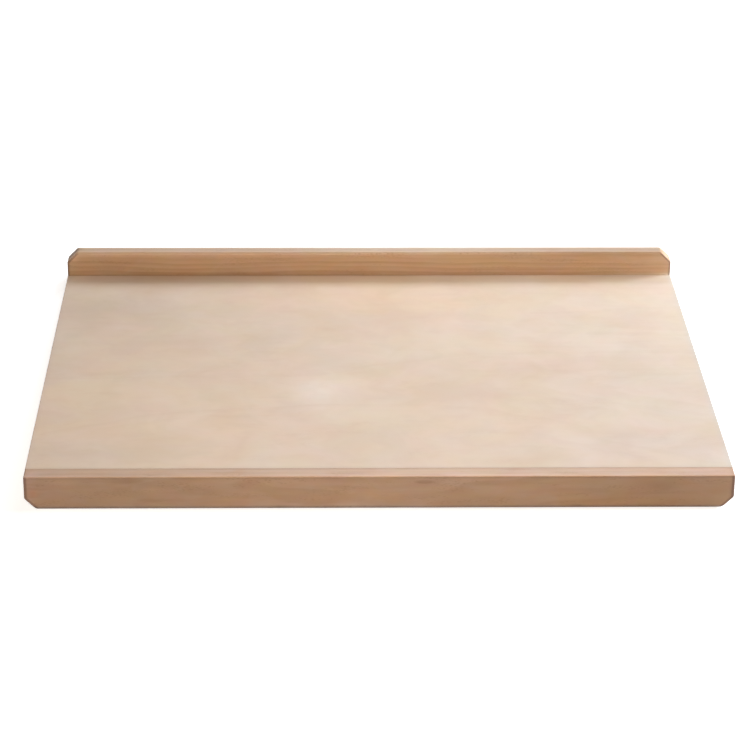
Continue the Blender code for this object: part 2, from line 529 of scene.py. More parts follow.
@dataclass(frozen=True)
class Spot:
    """A place where the wood's colour differs, such as a small knot, a dark streak or a pale patch, or where
    painted shade, a painted shadow, painted light or a painted highlight lies on it.
    """

    centre: Point
    reach: Point
    tint: Color  # what the colour is multiplied by at the centre
    lift: float = 0.0  # how far the growth rings swerve there

    def mask(self, g: Graph, place: Socket) -> Socket:
        """Return the spot's mask in a graph."""
        return g.effect(soft_spot(), {"Vector": place, "Centre": self.centre, "Reach": self.reach})["Spot"]


def on_work_surface(x: float, y: float, along: float, across: float, tint: Color) -> Spot:
    """Return a spot on the panel's top face, by its middle, its reach along X and along Y, and its tint."""
    return Spot((x, y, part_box("top_face_veneer")[1].z), (along, across, TOP_SPOT_DEPTH), tint)


def on_front(x: float, z: float, along: float, high: float, tint: Color, lift: float = 0.0) -> Spot:
    """Return a spot on the front rail's face, by its middle, its reach along X and along Z, and its tint."""
    return Spot((x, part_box("front_rail")[0].y, z), (along, FRONT_SPOT_DEPTH, high), tint, lift)


@dataclass(frozen=True)
class BareWood:
    """How rough bare, sanded wood is and how deep its relief, where it has no oil or varnish."""

    end_turn: Pair = (0.50, 1.00)  # how squarely a face crosses the grain where end grain begins and is full
    roughness: float = 0.52
    end_roughness: float = 0.18  # what end grain adds
    smudges: float = 0.16  # how much handling varies it
    fibre_height: float = 0.40  # shares of the relief
    ring_height: float = 0.20
    fleck_depth: float = 0.30
    sanding_height: float = 0.22

    def complete(
        self, dressing: Dressing, color: Feed, end: Feed, fibres: Feed, rings: Feed, flecks: Feed
    ) -> Material:
        """Give a material its roughness and its relief.

        Args:
            dressing: The material under construction.
            color: Its colour.
            end: The mask of its end grain.
            fibres: The mask of its fibres.
            rings: The mask of its growth lines.
            flecks: The mask of its flecks.

        Returns:
            The material.
        """
        g = dressing.graph
        touch = g.effect(handling(), {"Vector": dressing.place})
        roughness = g.math("MULTIPLY_ADD", touch["Smudges"], self.smudges, self.roughness - self.smudges / 2)
        roughness = g.math("MULTIPLY_ADD", end, self.end_roughness, roughness)
        height = g.math("MULTIPLY", rings, self.ring_height)
        height = g.math("MULTIPLY_ADD", fibres, self.fibre_height, height)
        height = g.math("SUBTRACT", height, g.math("MULTIPLY", flecks, self.fleck_depth))
        height = g.math("MULTIPLY_ADD", touch["Sanding"], self.sanding_height, height)
        return dressing.complete(color, roughness, height)


@dataclass(frozen=True)
class RailBeech(BareWood):
    """Steamed beech, sawn, planed and sanded.

    All colours but the ground are what the ground is multiplied by at full strength.
    """

    ground: Color = (0.52, 0.33, 0.212)
    cloud: Color = (1.06, 1.07, 1.08)
    pink: Color = (1.025, 0.94, 0.935)
    straw: Color = (1.005, 1.0, 0.87)
    ring: Color = (0.92, 0.89, 0.865)
    streak: Color = (0.915, 0.885, 0.86)
    fleck: Color = (0.86, 0.82, 0.79)
    end_grain: Color = (0.66, 0.61, 0.56)
    # what the colour is multiplied by near the ends and along the seam
    darker_near_ends_and_seam: Color = (0.88, 0.86, 0.85)
    # painted highlight on the level face beside an arris
    wear_and_highlight: Color = (1.23, 1.22, 1.2)
    # painted shade: a dark outline round the ends and cut corners
    outline_shade: Color = (0.63, 0.59, 0.62)
    ring_width: float = 0.0027
    waver: float = 0.010
    mottle_along: float = 22.0
    mottle_across: float = 75.0

    def material(self, name: str, rail: Rail) -> Material:
        """Make the wood of one rail.

        Args:
            name: The material's name.
            rail: The rail, which says where the log's heart, its spots, its arrises and its seam are.

        Returns:
            The material.
        """
        dressing = Dressing(name)
        g, place = dressing.graph, dressing.place
        feeds = {"Vector": place, "Location": rail.heart, "Rotation": rail.run_out}
        turned = g.add("ShaderNodeMapping", feeds).outputs[0]
        masks = [spot.mask(g, place) for spot in rail.spots]
        lift = 0.0
        for spot, mask in zip(rail.spots, masks):
            if spot.lift:
                lift = g.math("MULTIPLY_ADD", mask, spot.lift, lift)
        rings = {"Vector": turned, "Ring Width": self.ring_width, "Waver": self.waver, "Lift": lift}
        grain = g.effect(sawn_grain(), rings)
        clouds = {"Vector": turned, "Along": self.mottle_along, "Across": self.mottle_across}
        mottle = g.effect(growth_mottle(), clouds)
        edges = g.effect(rail_edge_masks(), {"Vector": place, **rail.edge_places()})
        end = g.smooth(g.math("ABSOLUTE", g.split(dressing.facing)[X]), *self.end_turn)
        color = g.tint(
            self.ground,
            (mottle["Cloud"], self.cloud),
            (mottle["Pink"], self.pink),
            (mottle["Straw"], self.straw),
            (grain["Rings"], self.ring),
            (grain["Streaks"], self.streak),
            (grain["Flecks"], self.fleck),
            *((mask, spot.tint) for spot, mask in zip(rail.spots, masks)),
            (end, self.end_grain),
            (edges["Ends"], self.darker_near_ends_and_seam),
            (edges["Free"], rail.free_edge_shade),
            (edges["Arris"], self.wear_and_highlight),
            (edges["Beneath"], rail.beneath_arris_shade),
            (edges["Seam"], self.darker_near_ends_and_seam),
            (edges["Outline"], self.outline_shade),
        )
        return self.complete(dressing, color, end, grain["Fibres"], grain["Rings"], grain["Flecks"])


class Grain(Enum):
    """Which way a ply's grain runs, as the turn about Z that lays its figure along it."""

    ALONG_RAILS = 0.0
    FRONT_TO_BACK = math.pi / 2


@dataclass(frozen=True)
class PeeledVeneer(BareWood):
    """Pale veneer, peeled off the log and sanded.

    All colours but the ground are what the ground is multiplied by at full strength.
    """

    ground: Color = (0.655, 0.497, 0.38)
    cloud: Color = (1.075, 1.09, 1.105)
    pink: Color = (1.01, 0.945, 0.935)
    straw: Color = (0.99, 0.995, 0.91)
    contour: Color = (0.98, 0.97, 0.955)
    wisp: Color = (0.98, 0.965, 0.955)
    fleck: Color = (0.95, 0.92, 0.9)
    end_grain: Color = (0.73, 0.66, 0.58)
    contours: float = 26.0
    mottle: float = 17.0
    end_turn: Pair = (0.35, 0.95)
    roughness: float = 0.55
    end_roughness: float = 0.20
    fibre_height: float = 0.45
    ring_height: float = 0.15
    sanding_height: float = 0.20

    def material(self, name: str, grain: Grain, offset: Point, spots: Sequence[Spot] = ()) -> Material:
        """Make the wood of one ply.

        Args:
            name: The material's name.
            grain: Which way the grain runs.
            offset: Which stretch of the peeled sheet the ply was cut from.
            spots: Where the wood's colour differs.

        Returns:
            The material.
        """
        dressing = Dressing(name)
        g, place = dressing.graph, dressing.place
        feeds = {"Vector": place, "Location": offset, "Rotation": (0.0, 0.0, grain.value)}
        turned = g.add("ShaderNodeMapping", feeds).outputs[0]
        figure = g.effect(peeled_figure(), {"Vector": turned, "Contours": self.contours})
        clouds = {"Vector": turned, "Along": self.mottle, "Across": self.mottle}
        mottle = g.effect(growth_mottle(), clouds)
        across = g.split(dressing.facing)[X if grain is Grain.ALONG_RAILS else Y]
        end = g.smooth(g.math("ABSOLUTE", across), *self.end_turn)
        color = g.tint(
            self.ground,
            (mottle["Cloud"], self.cloud),
            (mottle["Pink"], self.pink),
            (mottle["Straw"], self.straw),
            (figure["Contours"], self.contour),
            (figure["Wisps"], self.wisp),
            (figure["Flecks"], self.fleck),
            *((spot.mask(g, place), spot.tint) for spot in spots),
            (end, self.end_grain),
        )
        return self.complete(dressing, color, end, figure["Fibres"], figure["Contours"], figure["Flecks"])


@dataclass(frozen=True)
class DriedGlue:
    """Wood glue that has dried in a joint, amber and a little uneven."""

    thin: Color = (0.33, 0.19, 0.095)
    thick: Color = (0.64, 0.55, 0.47)  # what the thin glue's colour is multiplied by where it is thick
    pools: Point = (160.0, 160.0, 900.0)  # how many thick places a metre has
    pool_rim: Pair = (0.35, 0.70)  # the noise where a thick place begins, and where it is full
    roughness: float = 0.38
    unevenness: float = 0.20  # of the roughness
    sheen: Sheen = Sheen(sheen=0.0, relief=0.00005)

    def material(self, name: str) -> Material:
        """Make the glue.

        Args:
            name: The material's name.

        Returns:
            The material.
        """
        dressing = Dressing(name)
        g = dressing.graph
        pools = g.noise(g.vector("MULTIPLY", dressing.place, self.pools), 3.0)
        color = g.tint(self.thin, (g.smooth(pools, *self.pool_rim), self.thick))
        roughness = g.math("MULTIPLY_ADD", pools, self.unevenness, self.roughness - self.unevenness / 2)
        return dressing.complete(color, roughness, pools, self.sheen)


@dataclass(frozen=True)
class StudioPaper:
    """The pale paper under the board. The camera sees it white, with the board's shadow on it."""

    tone: Color = (0.8, 0.8, 0.8)
    roughness: float = 0.85
    unevenness: float = 0.10
    mottle: float = 40.0
    glow: float = 0.71  # near the board, what the camera sees on top of the lamps' light
    near: float = 0.60  # metres from the board's middle at which the glow begins to rise
    far: float = 1.40  # where it is full

    def material(self, name: str) -> Material:
        """Make the paper.

        Args:
            name: The material's name.

        Returns:
            The material.
        """
        material = bpy.data.materials.new(name)
        g = emptied(material)
        place = g.add("ShaderNodeTexCoord").outputs["Object"]
        mottle = g.noise(g.grainwise(place, self.mottle, self.mottle))
        roughness = g.math("MULTIPLY_ADD", mottle, self.unevenness, self.roughness)
        rising = g.smooth(g.vector("LENGTH", place), self.near, self.far, self.glow, 1.0)
        paper = g.add("ShaderNodeBsdfPrincipled", {"Base Color": self.tone, "Roughness": roughness})
        glow = g.add("ShaderNodeEmission", {"Strength": g.math("MULTIPLY", seen_directly(g), rising)})
        both = g.add("ShaderNodeAddShader", {0: paper.outputs[0], 1: glow.outputs[0]})
        g.add("ShaderNodeOutputMaterial", {"Surface": both.outputs[0]})
        return material


def seen_directly(g: Graph) -> Socket:
    """Tell a ray from the camera, in a reflection or through glass from one that lights something.

    Args:
        g: The graph that the mask is for.

    Returns:
        The mask, which is 1 for a ray that sees and 0 for one that lights.
    """
    path = g.add("ShaderNodeLightPath").outputs
    reflected = g.math("MAXIMUM", path["Is Glossy Ray"], path["Is Transmission Ray"])
    return g.math("MAXIMUM", path["Is Camera Ray"], reflected)


def box_between(low: Sequence[float], high: Sequence[float]) -> Shape:
    """Make a box.

    Args:
        low: Its lowest corner.
        high: Its highest corner.

    Returns:
        The box's shape.
    """
    bm = bmesh.new()
    bmesh.ops.create_cube(bm, size=1.0)
    bmesh.ops.translate(bm, vec=(0.5, 0.5, 0.5), verts=bm.verts)
    bmesh.ops.scale(bm, vec=[b - a for a, b in zip(low, high)], verts=bm.verts)
    bmesh.ops.translate(bm, vec=low, verts=bm.verts)
    return bm


def middle_of(edge: Edge) -> Vector:
    """Return the middle point of an edge."""
    return (edge.verts[0].co + edge.verts[1].co) / 2


def runs_along(edge: Edge, axis: int) -> bool:
    """Tell whether an edge runs along an axis."""
    step = edge.verts[1].co - edge.verts[0].co
    return abs(step[axis]) > PARALLEL * step.length


def is_at(edge: Edge, axis: int, level: float) -> bool:
    """Tell whether an edge's middle lies at a level of an axis."""
    return math.isclose(middle_of(edge)[axis], level, abs_tol=TOUCHING)


def round_off(bm: Shape, edges: Iterable[Edge], size: float, segments: int) -> None:
    """Bevel edges.

    Args:
        bm: The mesh that the edges are in.
        edges: The edges.
        size: How far from each edge its bevel begins.
        segments: One for a flat cut, and more for a round.
    """
    bmesh.ops.bevel(
        bm,
        geom=list(edges),
        offset=size,
        offset_type="OFFSET",
        affect="EDGES",
        segments=segments,
        profile=0.5,
        material=-1,
        clamp_overlap=True,
    )


def to_mesh(bm: Shape, name: str) -> bpy.types.Mesh:
    """Turn a shape into a mesh.

    Args:
        bm: The shape, which is used up.
        name: The mesh's name.

    Returns:
        The mesh.
    """
    mesh = bpy.data.meshes.new(name)
    bm.to_mesh(mesh)
    bm.free()
    return mesh


def cut_out(bm: Shape, low: Sequence[float], high: Sequence[float]) -> Shape:
    """Cut the box between two corners out of a closed shape.

    Args:
        bm: The shape, which is used up.
        low: The box's lowest corner.
        high: The box's highest corner.

    Returns:
        The shape that is left.
    """
    body = bpy.data.objects.new("being_cut", to_mesh(bm, "being_cut"))
    cutter = bpy.data.objects.new("cutter", to_mesh(box_between(low, high), "cutter"))
    for piece in (body, cutter):
        bpy.context.scene.collection.objects.link(piece)
    cut = body.modifiers.new("cut", "BOOLEAN")
    cut.operation = "DIFFERENCE"
    cut.solver = "EXACT"
    cut.object = cutter
    result = bmesh.new()
    result.from_object(body, bpy.context.evaluated_depsgraph_get())
    for piece in (body, cutter):
        mesh = piece.data
        bpy.data.objects.remove(piece)
        bpy.data.meshes.remove(mesh)
    return result


def slice_across(bm: Shape, axis: int, step: float) -> None:
    """Divide a shape across one axis, so that its long arrises can follow the sanding.

    Args:
        bm: The shape.
        axis: The axis that the slices follow each other along.
        step: How long each slice is, about.
    """
    low, high = (pick(v.co[axis] for v in bm.verts) for pick in (min, max))
    count = max(1, round((high - low) / step))
    normal = Vector(ORIGIN)
    normal[axis] = 1.0
    for index in range(1, count):
        place = normal * (low + (high - low) * index / count)
        whole = bm.verts[:] + bm.edges[:] + bm.faces[:]
        bmesh.ops.bisect_plane(bm, geom=whole, dist=TOUCHING, plane_co=place, plane_no=normal)


def sanding_pressure(place: Vector) -> float:
    """Return how hard the sander pressed at a place of its pattern, from 0 to 1."""
    return min(1.0, max(0.0, (1.0 + noise.noise(place)) / 2))


def hand_sand(bm: Shape, radius: float, depth: float, wave: float, seed: float) -> None:
    """Wear the rounded arrises of a shape unevenly, into the wood.

    Args:
        bm: The shape, sliced finely enough to follow the wear.
        radius: The arrises' radius.
        depth: The most that the wear goes in.
        wave: The length over which the wear changes.
        seed: Moves the pattern of the wear.
    """
    low = Vector([min(v.co[axis] for v in bm.verts) for axis in (X, Y, Z)])
    high = Vector([max(v.co[axis] for v in bm.verts) for axis in (X, Y, Z)])
    bm.normal_update()
    wear_and_highlight = []
    for vert in bm.verts:
        inside = min(min(vert.co[axis] - low[axis], high[axis] - vert.co[axis]) for axis in (X, Y, Z))
        share = min(1.0, inside / (radius * (1 - HALF_RIGHT_ANGLE)))
        pressure = sanding_pressure(vert.co / wave + Vector((seed, 0.0, 0.0)))
        wear_and_highlight.append(vert.normal * (depth * share * pressure))
    for vert, wear in zip(bm.verts, wear_and_highlight):
        vert.co -= wear


def keep_within(bm: Shape, low: Vector, high: Vector) -> None:
    """Pull every place of a shape that passes a box back onto it, as bevels pass it a little where they meet.

    Args:
        bm: The shape.
        low: The box's lowest corner.
        high: The box's highest corner.
    """
    for vert in bm.verts:
        vert.co = [min(max(place, least), most) for place, least, most in zip(vert.co, low, high)]


def add_piece(
    name: str,
    bm: Shape,
    material: Material,
    nodes: Sequence[str] = (),
    slot: str | None = None,
) -> None:
    """Put a finished piece in the scene.

    Args:
        name: The piece's name.
        bm: Its shape, in place, which is used up.
        material: Its material.
        nodes: The CAD nodes that it stands for.
        slot: Not used.
    """
    bmesh.ops.recalc_face_normals(bm, faces=bm.faces)
    mesh = to_mesh(bm, name)
    mesh.materials.append(material)
    mesh.shade_smooth()
    mesh.set_sharp_from_angle(angle=SMOOTH_ANGLE)
    piece = bpy.data.objects.new(name, mesh)
    bpy.context.scene.collection.objects.link(piece)
    flats_stay_flat = piece.modifiers.new("flats_stay_flat", "WEIGHTED_NORMAL")
    flats_stay_flat.keep_sharp = True
    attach(piece, "root")
    if nodes:
        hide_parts(*nodes)
    log.info("%s: %d faces, %s", name, len(mesh.polygons), material.name)


class Side(Enum):
    """Which edge of the panel a rail is glued to, as the sign of Y there."""

    FRONT = -1
    BACK = 1


@dataclass
class Joint:
    """The bare-faced tongue and groove between the panel and one rail, read from the frame.

    The tongue keeps the plies on its closed side, which is level with the groove's side, and loses those on
    its open side.
    """

    side: Side

    def __post_init__(self) -> None:
        """Read the joint's places from the frame."""
        front = self.side is Side.FRONT
        rail_low, rail_high = self.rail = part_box("front_rail" if front else "back_rail")
        panel_low, panel_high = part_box("bottom_face_veneer")[0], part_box("top_face_veneer")[1]
        core_low, core_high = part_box("core_veneer")
        self.rail_face = rail_high.y if front else rail_low.y
        self.tip = core_low.y if front else core_high.y
        self.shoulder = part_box("top_face_veneer")[0].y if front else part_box("bottom_face_veneer")[1].y
        self.closed_level = panel_low.z if front else panel_high.z
        self.open_level = panel_high.z if front else panel_low.z
        self.tongue_level = core_high.z if front else core_low.z
        self.gap = abs(self.rail_face - self.shoulder)

    def open_by(self, distance: float) -> float:
        """Return the Z that lies this far from the closed level towards the open one."""
        return self.closed_level - self.side.value * distance

    def groove_corners(self, overrun: float) -> tuple[Point, Point]:
        """Return two corners of the cutter that ploughs the groove.

        Args:
            overrun: How far the cutter passes the surfaces that it opens.

        Returns:
            The lowest and the highest corner.
        """
        rail_low, rail_high = self.rail
        ys = sorted((self.rail_face - self.side.value * overrun, self.tip + self.side.value * self.gap))
        zs = sorted((self.closed_level, self.tongue_level - self.side.value * self.gap))
        return (rail_low.x - overrun, ys[0], zs[0]), (rail_high.x + overrun, ys[1], zs[1])


@dataclass
class Rail:
    """One rail: a moulded strip with its free corners cut across and a groove for the panel's tongue."""

    side: Side
    wood: RailBeech
    heart: Point  # from the log's heart to the origin
    run_out: Point  # how the grain is turned against the strip
    free_edge_shade: Color  # painted shade along the free edge: the front rail's downward-facing bottom and the round of the back rail's top
    beneath_arris_shade: Color  # painted shade on the upright faces just past an arris
    spots: tuple[Spot, ...] = ()
    corner_cut: float = 0.0110
    free_radius: float = 0.0030
    free_segments: int = 8
    arris_radius: float = 0.0012
    arris_segments: int = 6
    slice_length: float = 0.0050
    sanding_depth: float = 0.00012
    sanding_wave: float = 0.035
    cutter_overrun: float = 0.0100
    arris_highlight_reach: float = 0.0075  # how far from an arris, seam or end each painted highlight, painted shade or darkening shows
    beneath_reach: float = 0.0034
    outline_shade_reach: float = 0.0034
    free_reach: float = 0.0045
    seam_reach: float = 0.0052
    end_reach: float = 0.0045

    def __post_init__(self) -> None:
        """Read the strip's box and its joint from the frame."""
        self.node = f"{self.side.name.lower()}_rail"
        self.low, self.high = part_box(self.node)
        self.joint = Joint(self.side)
        self.free_level = self.low.z if self.side is Side.FRONT else self.high.z
        self.seam_level = self.high.z if self.side is Side.FRONT else self.low.z

    def edge_places(self) -> dict[str, Feed]:
        """Tell the rail_edge_masks effect where the strip's faces, seam and cut corners are.

        Returns:
            What each of the effect's inputs is set to.
        """
        return {
            "Low": tuple(self.low),
            "High": tuple(self.high),
            "Seam Place": (0.0, self.joint.rail_face, self.seam_level),
            "Free Height": self.free_level,
            "Corner Cut": self.corner_cut,
            "Arris Radius": self.arris_radius,
            "Arris Reach": self.arris_highlight_reach,
            "Beneath Reach": self.beneath_reach,
            "Outline Reach": self.outline_shade_reach,
            "Free Reach": self.free_reach,
            "Seam Reach": self.seam_reach,
            "End Reach": self.end_reach,
        }

    def saw_corner(self, bm: Shape, end: int) -> None:
        """Saw off one of the free corners at 45 degrees.

        Args:
            bm: The strip, with its free edge already moulded.
            end: The sign of X at the corner's end.
        """
        end_x = self.high.x if end > 0 else self.low.x
        outward = math.copysign(1.0, self.free_level - self.seam_level)
        cut = bmesh.ops.bisect_plane(
            bm,
            geom=bm.verts[:] + bm.edges[:] + bm.faces[:],
            dist=TOUCHING,
            plane_co=(end_x - end * self.corner_cut, 0.0, self.free_level),
            plane_no=(end, 0.0, outward),
            clear_outer=True,
        )
        rim = [item for item in cut["geom_cut"] if isinstance(item, Edge)]
        bmesh.ops.edgeloop_fill(bm, edges=rim)

    def shape(self) -> Shape:
        """Model the strip: mould its free edge, cut its corners, ease its arrises, groove it and sand it.

        Returns:
            The strip's shape.
        """
        bm = box_between(self.low, self.high)
        free_edges = [e for e in bm.edges if runs_along(e, X) and is_at(e, Z, self.free_level)]
        round_off(bm, free_edges, self.free_radius, self.free_segments)
        for end in (-1, 1):
            self.saw_corner(bm, end)
        bmesh.ops.recalc_face_normals(bm, faces=bm.faces)
        seam = [e for e in bm.edges if is_at(e, Y, self.joint.rail_face) and is_at(e, Z, self.seam_level)]
        sharp = [e for e in bm.edges if e.calc_face_angle(0.0) > SMOOTH_ANGLE and e not in seam]
        round_off(bm, sharp, self.arris_radius, self.arris_segments)
        bm = cut_out(bm, *self.joint.groove_corners(self.cutter_overrun))
        slice_across(bm, X, self.slice_length)
        keep_within(bm, self.low, self.high)
        hand_sand(bm, self.arris_radius, self.sanding_depth, self.sanding_wave, float(self.side.value))
        return bm

    def build(self) -> None:
        """Make the strip and its wood."""
        wood = self.wood.material(f"beech_{self.side.name.lower()}", self)
        add_piece(f"{self.node}_strip", self.shape(), wood, (self.node,), "rail_wood")


@dataclass
class Panel:
    """The plywood panel: five peeled veneers with glue between them, and glue round both tongues."""

    top_spots: tuple[Spot, ...] = ()
    side_arris: float = 0.0005
    side_segments: int = 4
    slice_length: float = 0.0060
    sanding_depth: float = 0.00005
    sanding_wave: float = 0.012
    glue_recess: float = 0.00015  # how far the glue stays behind the sanded edges
    seam_recess: float = 0.00010  # how far the glue stays below the face at a seam
    glue_clearance: float = 0.00001  # at most, between the glue and the wood
    overrun: float = 0.0100  # how far a cutter passes the surfaces that it opens
    sheet_step: Point = (0.9, 0.7, 0.0)  # from one ply's stretch of the peeled sheet to the next one's
    seed_step: float = 3.1  # from one ply's pattern of sanding to the next one's
    side_seed: float = 9.0  # and from the board's middle to either side's
    stack: tuple[str, ...] = (
        "bottom_face_veneer",
        "lower_crossband_veneer",
        "core_veneer",
        "upper_crossband_veneer",
        "top_face_veneer",
    )

    def __post_init__(self) -> None:
        """Read both joints from the frame."""
        self.joints = {side: Joint(side) for side in Side}

    def ply_shape(self, node: str, tongue: Side | None, seed: float) -> Shape:
        """Model one ply.

        Args:
            node: The CAD node that it stands for.
            tongue: For a face ply, the side on which it runs on into the tongue.
            seed: Moves the pattern of the sanding.

        Returns:
            The ply's shape.
        """
        low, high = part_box(node)
        bm = box_between(low, high)
        if tongue:
            joint = self.joints[tongue]
            outer = joint.closed_level
            side_edges = [e for e in bm.edges if runs_along(e, Y) and is_at(e, Z, outer)]
            round_off(bm, side_edges, self.side_arris, self.side_segments)
            ys = sorted((joint.shoulder, joint.tip + tongue.value * self.overrun))
            zs = sorted((outer + tongue.value * self.overrun, joint.open_by(joint.gap)))
            bm = cut_out(bm, (low.x - self.overrun, ys[0], zs[0]), (high.x + self.overrun, ys[1], zs[1]))
        slice_across(bm, Y, self.slice_length)
        for vert in bm.verts:
            inside = min(vert.co.x - low.x, high.x - vert.co.x)
            if inside < self.side_arris:
                side_seed = math.copysign(self.side_seed, vert.co.x)
                place = Vector((seed, vert.co.y / self.sanding_wave, side_seed))
                vert.co.x -= math.copysign(self.sanding_depth * sanding_pressure(place), vert.co.x)
        return bm

    def build_plies(self) -> None:
        """Make the five plies, from the underside up."""
        face = PeeledVeneer()
        core = PeeledVeneer(ground=(0.59, 0.435, 0.31), contours=20.0)
        cross = PeeledVeneer(ground=(0.55, 0.39, 0.268), contours=16.0)
        plan = (
            (face, Grain.ALONG_RAILS, Side.FRONT, "face_veneer", ()),
            (cross, Grain.FRONT_TO_BACK, None, "crossband_veneer", ()),
            (core, Grain.ALONG_RAILS, None, "core_veneer", ()),
            (cross, Grain.FRONT_TO_BACK, None, "crossband_veneer", ()),
            (face, Grain.ALONG_RAILS, Side.BACK, "face_veneer", self.top_spots),
        )
        for number, (node, (finish, grain, tongue, slot, spots)) in enumerate(zip(self.stack, plan)):
            offset = tuple(step * number for step in self.sheet_step)
            wood = finish.material(f"{node}_wood", grain, offset, spots)
            shape = self.ply_shape(node, tongue, self.seed_step * number)
            add_piece(node.replace("veneer", "ply"), shape, wood, (node,), slot)

    def add_glue(self, name: str, low: Sequence[float], high: Sequence[float], glue: Material) -> None:
        """Fill a thin gap with glue that stays clear of the wood on both sides.

        Args:
            name: The piece's name.
            low: The gap's lowest corner.
            high: The gap's highest corner.
            glue: The glue's material.
        """
        quarters = ((end - start) / 4 for start, end in zip(low, high))
        spare = Vector([min(self.glue_clearance, quarter) for quarter in quarters])
        add_piece(name, box_between(Vector(low) + spare, Vector(high) - spare), glue)

    def build_glue_lines(self, glue: Material) -> None:
        """Fill the gaps between the plies, as far out as both plies reach.

        Args:
            glue: The glue's material.
        """
        for below, above in zip(self.stack, self.stack[1:]):
            (low, bottom), (top, high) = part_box(below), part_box(above)
            front, back = max(low.y, top.y), min(bottom.y, high.y)
            name = f"glue_{below.removesuffix('_veneer')}_to_{above.removesuffix('_veneer')}"
            left, right = low.x + self.glue_recess, high.x - self.glue_recess
            self.add_glue(name, (left, front, bottom.z), (right, back, top.z), glue)

    def build_joint_glue(self, joint: Joint, glue: Material) -> None:
        """Fill the seam between the panel's shoulder and the rail, and the room round the tongue.

        Args:
            joint: The joint.
            glue: The glue's material.
        """
        low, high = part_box("core_veneer")
        ends = (low.x + self.glue_recess, high.x - self.glue_recess)
        side = joint.side.name.lower()
        sign = joint.side.value
        seam_top = joint.open_level + sign * self.seam_recess
        tongue_side = joint.tongue_level
        groove_side = tongue_side - sign * joint.gap
        spans = {
            "seam": ((joint.shoulder, joint.rail_face), (tongue_side, seam_top)),
            "tongue": ((joint.rail_face, joint.tip), (tongue_side, groove_side)),
            "tip": ((joint.tip, joint.tip + sign * joint.gap), (joint.closed_level, groove_side)),
        }
        for part, (ys, zs) in spans.items():
            ys, zs = sorted(ys), sorted(zs)
            self.add_glue(f"glue_{side}_{part}", (ends[0], ys[0], zs[0]), (ends[1], ys[1], zs[1]), glue)

    def build(self) -> None:
        """Make the plies and the glue that holds them."""
        self.build_plies()
        glue = DriedGlue().material("dried_glue")
        self.build_glue_lines(glue)
        for joint in self.joints.values():
            self.build_joint_glue(joint, glue)


@dataclass
class SoftBox:
    """A studio lamp behind a rectangle of white cloth, which is lit evenly."""

    name: str
    place: Point
    width: float
    height: float
    power: float  # watts
    tint: Color = WHITE
    glossy: bool = True  # whether it shows in the wood's gloss
    aim: Point = (0.03, 0.0, 0.0)

    def build(self) -> None:
        """Make the lamp and turn it to what it lights."""
        lamp = bpy.data.lights.new(self.name, "AREA")
        lamp.shape = "RECTANGLE"
        lamp.size, lamp.size_y = self.width, self.height
        lamp.energy = self.power
        lamp.color = self.tint
        stand = bpy.data.objects.new(self.name, lamp)
        bpy.context.scene.collection.objects.link(stand)
        stand.location = self.place
        stand.visible_glossy = self.glossy
        stand.rotation_euler = (Vector(self.aim) - Vector(self.place)).to_track_quat("-Z", "Y").to_euler()


@dataclass
class Studio:
    """The camera, the lamps, the daylight and the floor."""

    lens: float = 128.25  # millimetres
    sensor: float = 36.0  # millimetres wide
    camera_place: Point = (-0.0597, -2.3854, 1.0829)
    camera_down: float = math.radians(24.37)
    camera_right: float = math.radians(1.283)  # turned to the right of +Y
    camera_roll: float = math.radians(0.429)
    floor_size: float = 12.0
    ambient: float = 0.015
    lamps: tuple[SoftBox, ...] = (
        SoftBox("right_lamp", (1.75, -0.05, 1.0), 0.5, 0.7, 33.6, (0.912, 0.969, 1.0), glossy=False),
        SoftBox("right_back_lamp", (1.85, 0.7, 0.6), 0.5, 0.5, 37.0, (0.75, 0.93, 1.0), glossy=False),
        SoftBox("back_lamp", (0.3, 1.8, 1.5), 1.0, 0.8, 19.5, (0.86, 0.88, 1.0)),
        SoftBox("left_fill", (-0.6, -1.9, 1.2), 0.8, 0.8, 21.0, (1.0, 0.85, 0.64)),
    )

    def build_camera(self) -> None:
        """Place the camera at the photograph's angle."""
        lens = bpy.data.cameras.new("camera")
        lens.lens = self.lens
        lens.sensor_width = self.sensor
        camera = bpy.data.objects.new("camera", lens)
        bpy.context.scene.collection.objects.link(camera)
        turn = (
            Matrix.Rotation(-self.camera_right, 4, "Z")
            @ Matrix.Rotation(math.pi / 2 - self.camera_down, 4, "X")
            @ Matrix.Rotation(self.camera_roll, 4, "Z")
        )
        camera.matrix_world = Matrix.Translation(self.camera_place) @ turn
        bpy.context.scene.camera = camera

    def build_daylight(self) -> None:
        """Light the room evenly, and show white behind the board."""
        world = bpy.data.worlds.new("daylight")
        bpy.context.scene.world = world
        g = emptied(world)
        soft = g.add("ShaderNodeBackground", {"Color": WHITE, "Strength": self.ambient})
        white = g.add("ShaderNodeBackground", {"Color": WHITE, "Strength": 1.0})
        shown = g.add("ShaderNodeMixShader", {0: seen_directly(g), 1: soft.outputs[0], 2: white.outputs[0]})
        g.add("ShaderNodeOutputWorld", {"Surface": shown.outputs[0]})

    def build_floor(self) -> None:
        """Lay the floor under the lowest arrises of both rails."""
        front_low, front_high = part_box("front_rail")
        back_low, back_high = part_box("back_rail")
        front_foot = Vector((0.0, front_high.y, front_low.z))
        back_foot = Vector((0.0, back_high.y, back_low.z))
        slope = (back_foot.z - front_foot.z) / (back_foot.y - front_foot.y)
        bm = bmesh.new()
        bmesh.ops.create_grid(bm, x_segments=1, y_segments=1, size=self.floor_size / 2)
        lean = Matrix.Rotation(math.atan(slope), 3, "X")
        bmesh.ops.rotate(bm, cent=ORIGIN, matrix=lean, verts=bm.verts)
        bmesh.ops.translate(bm, vec=(front_foot + back_foot) / 2, verts=bm.verts)
        floor = bpy.data.objects.new("floor", to_mesh(bm, "floor"))
        floor.data.materials.append(StudioPaper().material("studio_paper"))
        bpy.context.scene.collection.objects.link(floor)

    def build(self) -> None:
        """Set up the studio."""
        bpy.context.scene.view_settings.view_transform = "Standard"
        self.build_camera()
        self.build_daylight()
        self.build_floor()
        for lamp in self.lamps:
            lamp.build()


